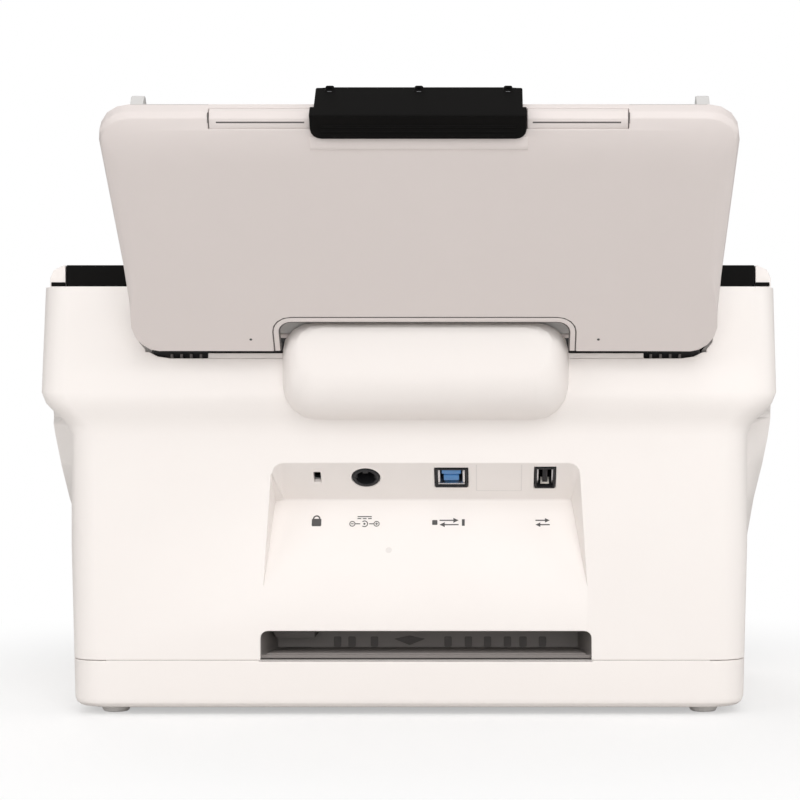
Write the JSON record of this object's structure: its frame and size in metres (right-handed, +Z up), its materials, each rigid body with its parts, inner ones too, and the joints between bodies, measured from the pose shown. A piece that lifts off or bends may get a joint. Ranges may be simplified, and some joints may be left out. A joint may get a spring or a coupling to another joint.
{
  "type": "document scanner",
  "caption": "Desktop sheet-feed document scanner with hinged input tray, opening feeder cover, folding output tray, gear-driven rollers and rear connector recess.",
  "frame": {"origin": "middle of the footprint box on the floor, under the feet", "axes": "+Z up, -Y towards the operator, +Y towards the connectors, +X to the operator's right"},
  "size_m": [0.312, 0.3452, 0.248],
  "materials": {
    "housing_white": "fine moulded satin",
    "tray_white": "fine moulded satin",
    "bed_grey": "satin",
    "cover_black": "semi-gloss",
    "inner_black": "satin",
    "dark_grey": "satin",
    "button_grey": "satin",
    "frame_steel": "zinc plated sheet",
    "shaft_steel": "ground",
    "motor_metal": "can with end plate",
    "foot_rubber": "matt",
    "tyre_rubber": "matt, ground",
    "gear_plastic": "natural acetal",
    "clear_glass": "polished",
    "board_green": "solder mask",
    "port_metal": "folded shell with a blue insert",
    "port_black": "moulded"
  },
  "bodies": {
    "base": {"base_tray": "housing_white", "foot_front_left": "foot_rubber", "foot_front_right": "foot_rubber", "foot_rear_left": "foot_rubber", "foot_rear_right": "foot_rubber", "rear_cover": "housing_white", "side_cover_left": "housing_white", "side_cover_right": "housing_white", "grip_tray": "dark_grey", "connector_board": "board_green", "data_port_square": "port_metal", "data_port_upright": "port_black", "power_jack": "port_black", "lock_plate": "frame_steel", "lower_guide": "inner_black", "lower_sensor_bar": "dark_grey", "lower_sensor_glass": "clear_glass", "frame_left": "frame_steel", "frame_right": "frame_steel", "drive_motor": "motor_metal"},
    "feed_roller": {"feed_shaft": "shaft_steel", "feed_tyre_left": "tyre_rubber", "feed_tyre_right": "tyre_rubber", "feed_gear": "gear_plastic"},
    "transport_roller": {"transport_shaft": "shaft_steel", "transport_tyre_left": "tyre_rubber", "transport_tyre_right": "tyre_rubber", "transport_gear": "gear_plastic"},
    "exit_roller": {"exit_shaft": "shaft_steel", "exit_tyre_left": "tyre_rubber", "exit_tyre_right": "tyre_rubber", "exit_gear": "gear_plastic"},
    "upper_idler": {"upper_idler_gear": "gear_plastic"},
    "lower_idler": {"lower_idler_gear": "gear_plastic"},
    "motor_drive": {"motor_pinion": "frame_steel"},
    "adf_cover": {"cover_shell": "cover_black", "cover_cap_left": "housing_white", "cover_cap_right": "housing_white", "cover_guide": "inner_black", "upper_sensor_bar": "dark_grey", "panel_bezel": "dark_grey", "display_window": "clear_glass"},
    "start_button": {"button_start": "button_grey"},
    "stop_button": {"button_stop": "button_grey"},
    "menu_button": {"button_menu": "button_grey"},
    "separation_wheel": {"separation_roller": "tyre_rubber"},
    "upper_pinch": {"upper_pinch_roller": "tyre_rubber"},
    "lower_pinch": {"lower_pinch_roller": "tyre_rubber"},
    "input_tray": {"tray_shell": "tray_white", "tray_bed": "bed_grey"},
    "input_extension": {"extension_plate": "cover_black", "extension_cap": "tray_white"},
    "left_guide": {"guide_left": "bed_grey"},
    "right_guide": {"guide_right": "bed_grey"},
    "rack_pinion": {"guide_pinion": "gear_plastic"},
    "output_tray": {"output_tray": "cover_black"},
    "output_extension": {"output_extension": "dark_grey"},
    "output_stop": {"output_stop": "dark_grey"}
  },
  "joints": [
    {"name": "transport_roller_spin", "type": "hinge", "parent": "base", "child": "transport_roller", "pos_m": [-0.0073, 0.04126, 0.09823], "axis": [1, 0, 0], "continuous": true},
    {"name": "feed_roller_spin", "type": "hinge", "parent": "base", "child": "feed_roller", "pos_m": [-0.0073, 0.06785, 0.12676], "axis": [1, 0, 0], "continuous": true},
    {"name": "exit_roller_spin", "type": "hinge", "parent": "base", "child": "exit_roller", "pos_m": [-0.0073, 0.00034, 0.05435], "axis": [1, 0, 0], "continuous": true},
    {"name": "upper_idler_spin", "type": "hinge", "parent": "base", "child": "upper_idler", "pos_m": [-0.0073, 0.05455, 0.11249], "axis": [1, 0, 0], "continuous": true},
    {"name": "lower_idler_spin", "type": "hinge", "parent": "base", "child": "lower_idler", "pos_m": [-0.0073, 0.0208, 0.07629], "axis": [1, 0, 0], "continuous": true},
    {"name": "motor_spin", "type": "hinge", "parent": "base", "child": "motor_drive", "pos_m": [-0.0073, 0.04164, 0.05686], "axis": [1, 0, 0], "continuous": true},
    {"name": "adf_cover_hinge", "type": "hinge", "parent": "base", "child": "adf_cover", "pos_m": [0, -0.07861, 0.054], "axis": [1, 0, 0], "range_deg": [0, 60]},
    {"name": "separation_roller_spin", "type": "hinge", "parent": "adf_cover", "child": "separation_wheel", "pos_m": [-0.0073, 0.05301, 0.1406], "axis": [1, 0, 0], "continuous": true},
    {"name": "upper_pinch_spin", "type": "hinge", "parent": "adf_cover", "child": "upper_pinch", "pos_m": [-0.0073, 0.02933, 0.10935], "axis": [1, 0, 0], "continuous": true},
    {"name": "lower_pinch_spin", "type": "hinge", "parent": "adf_cover", "child": "lower_pinch", "pos_m": [-0.0073, -0.01158, 0.06547], "axis": [1, 0, 0], "continuous": true},
    {"name": "start_button_press", "type": "slide", "parent": "adf_cover", "child": "start_button", "axis": [0, 1, 0], "range_m": [0, 0.0012], "stiffness_N_per_m": 500},
    {"name": "stop_button_press", "type": "slide", "parent": "adf_cover", "child": "stop_button", "axis": [0, 1, 0], "range_m": [0, 0.0012], "stiffness_N_per_m": 500},
    {"name": "menu_button_press", "type": "slide", "parent": "adf_cover", "child": "menu_button", "axis": [0, 1, 0], "range_m": [0, 0.0012], "stiffness_N_per_m": 500},
    {"name": "input_tray_hinge", "type": "hinge", "parent": "base", "child": "input_tray", "pos_m": [-0.0073, 0.07402, 0.17296], "axis": [-1, 0, 0], "range_deg": [-133, 0]},
    {"name": "input_extension_slide", "type": "slide", "parent": "input_tray", "child": "input_extension", "axis": [0, 0.682, 0.7314], "range_m": [0, 0.07]},
    {"name": "left_guide_slide", "type": "slide", "parent": "input_tray", "child": "left_guide", "axis": [1, 0, 0], "range_m": [0, 0.075]},
    {"name": "right_guide_slide", "type": "slide", "parent": "input_tray", "child": "right_guide", "axis": [-1, 0, 0], "range_m": [0, 0.075]},
    {"name": "rack_pinion_spin", "type": "hinge", "parent": "input_tray", "child": "rack_pinion", "pos_m": [-0.0073, 0.12112, 0.19194], "axis": [0, -0.7314, 0.682], "range_deg": [-480, 0]},
    {"name": "output_tray_hinge", "type": "hinge", "parent": "base", "child": "output_tray", "pos_m": [-0.0073, -0.08061, 0.017], "axis": [1, 0, 0], "range_deg": [-90, 0]},
    {"name": "output_extension_slide", "type": "slide", "parent": "output_tray", "child": "output_extension", "axis": [0, -1, 0], "range_m": [0, 0.06]},
    {"name": "output_stop_hinge", "type": "hinge", "parent": "output_extension", "child": "output_stop", "pos_m": [-0.0073, -0.16901, 0.0195], "axis": [1, 0, 0], "range_deg": [0, 85]}
  ],
  "couplings": [
    {"joint": "feed_roller_spin", "follows": "transport_roller_spin", "ratio": 1},
    {"joint": "exit_roller_spin", "follows": "transport_roller_spin", "ratio": 1},
    {"joint": "upper_idler_spin", "follows": "transport_roller_spin", "ratio": -1.1667},
    {"joint": "lower_idler_spin", "follows": "transport_roller_spin", "ratio": -0.53846},
    {"joint": "motor_spin", "follows": "transport_roller_spin", "ratio": 1.1667},
    {"joint": "right_guide_slide", "follows": "left_guide_slide", "ratio": 1},
    {"joint": "rack_pinion_spin", "follows": "left_guide_slide", "rad_per_m": -111.11}
  ]
}
